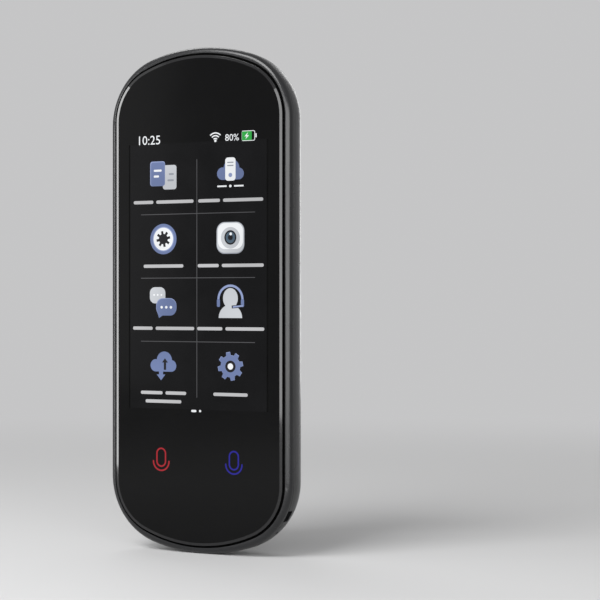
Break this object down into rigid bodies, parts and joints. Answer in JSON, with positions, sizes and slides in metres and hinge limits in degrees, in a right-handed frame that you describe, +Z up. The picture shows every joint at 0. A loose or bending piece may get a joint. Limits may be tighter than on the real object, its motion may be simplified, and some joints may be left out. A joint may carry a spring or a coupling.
{
  "type": "handheld translator",
  "caption": "Slim handheld translator: full-face touch glass in a rimmed frame, pebble-shaped rear cover with camera and speaker, side power button, charging port and lanyard slot.",
  "frame": {"origin": "under the middle of the lower end, midway between the front glass and the back plane", "axes": "+Z up the length of the device, the screen faces -Y, the back cover faces +Y, +X to the right of someone who looks at the screen"},
  "size_m": [0.0542, 0.0146, 0.13],
  "materials": {
    "cover_glass": "polished, printed black behind",
    "clear_film": "smooth film",
    "adhesive": "matte",
    "dark_rubber": "matte",
    "display": "polished",
    "white_film": "satin",
    "dark_foam": "open cell foam",
    "flex": "polyimide film",
    "led": "clear",
    "housing": "satin moulded",
    "steel": "plated",
    "button": "satin",
    "white_plastic": "smooth",
    "switch_body": "matte",
    "board": "solder mask",
    "shield": "tinned",
    "chip": "moulded",
    "connector": "moulded",
    "battery_wrap": "foil wrap",
    "speaker_body": "matte",
    "mesh": "woven dust mesh",
    "gold": "gold plated",
    "camera_trim": "polished black",
    "lens_glass": "coated",
    "camera_body": "black",
    "lens_coating": "blue coated"
  },
  "bodies": {
    "body": {"front_glass": "cover_glass", "touch_sensor": "clear_film", "glass_adhesive": "adhesive", "screen_gasket": "dark_rubber", "lcd_cell": "display", "backlight": "white_film", "display_foam": "dark_foam", "display_flex": "flex", "touch_flex": "flex", "key_leds": "led", "front_frame": "housing", "rear_cover": "housing", "lanyard_post": "steel", "power_switch": "switch_body", "main_board": "board", "port_board": "board", "processor_shield": "shield", "radio_shield": "shield", "board_chips": "chip", "board_connectors": "connector", "board_screws": "steel", "main_flex": "flex", "battery": "battery_wrap", "battery_adhesive": "adhesive", "battery_foam": "dark_foam", "battery_flex": "flex", "usb_c_shell": "steel", "usb_c_tongue": "connector", "microphone": "shield", "microphone_boot": "dark_rubber", "speaker": "speaker_body", "speaker_gasket": "dark_foam", "speaker_mesh": "mesh", "wifi_antenna": "flex", "antenna_spring": "gold", "camera_ring": "camera_trim", "camera_window": "lens_glass", "camera_module": "camera_body", "camera_lens": "lens_coating", "camera_foam": "dark_foam"},
    "button": {"power_button": "button", "switch_plunger": "white_plastic"}
  },
  "joints": [
    {"name": "power_button_press", "type": "slide", "parent": "body", "child": "button", "axis": [1, 0, 0], "range_m": [0, 0.0003], "stiffness_N_per_m": 4000}
  ]
}
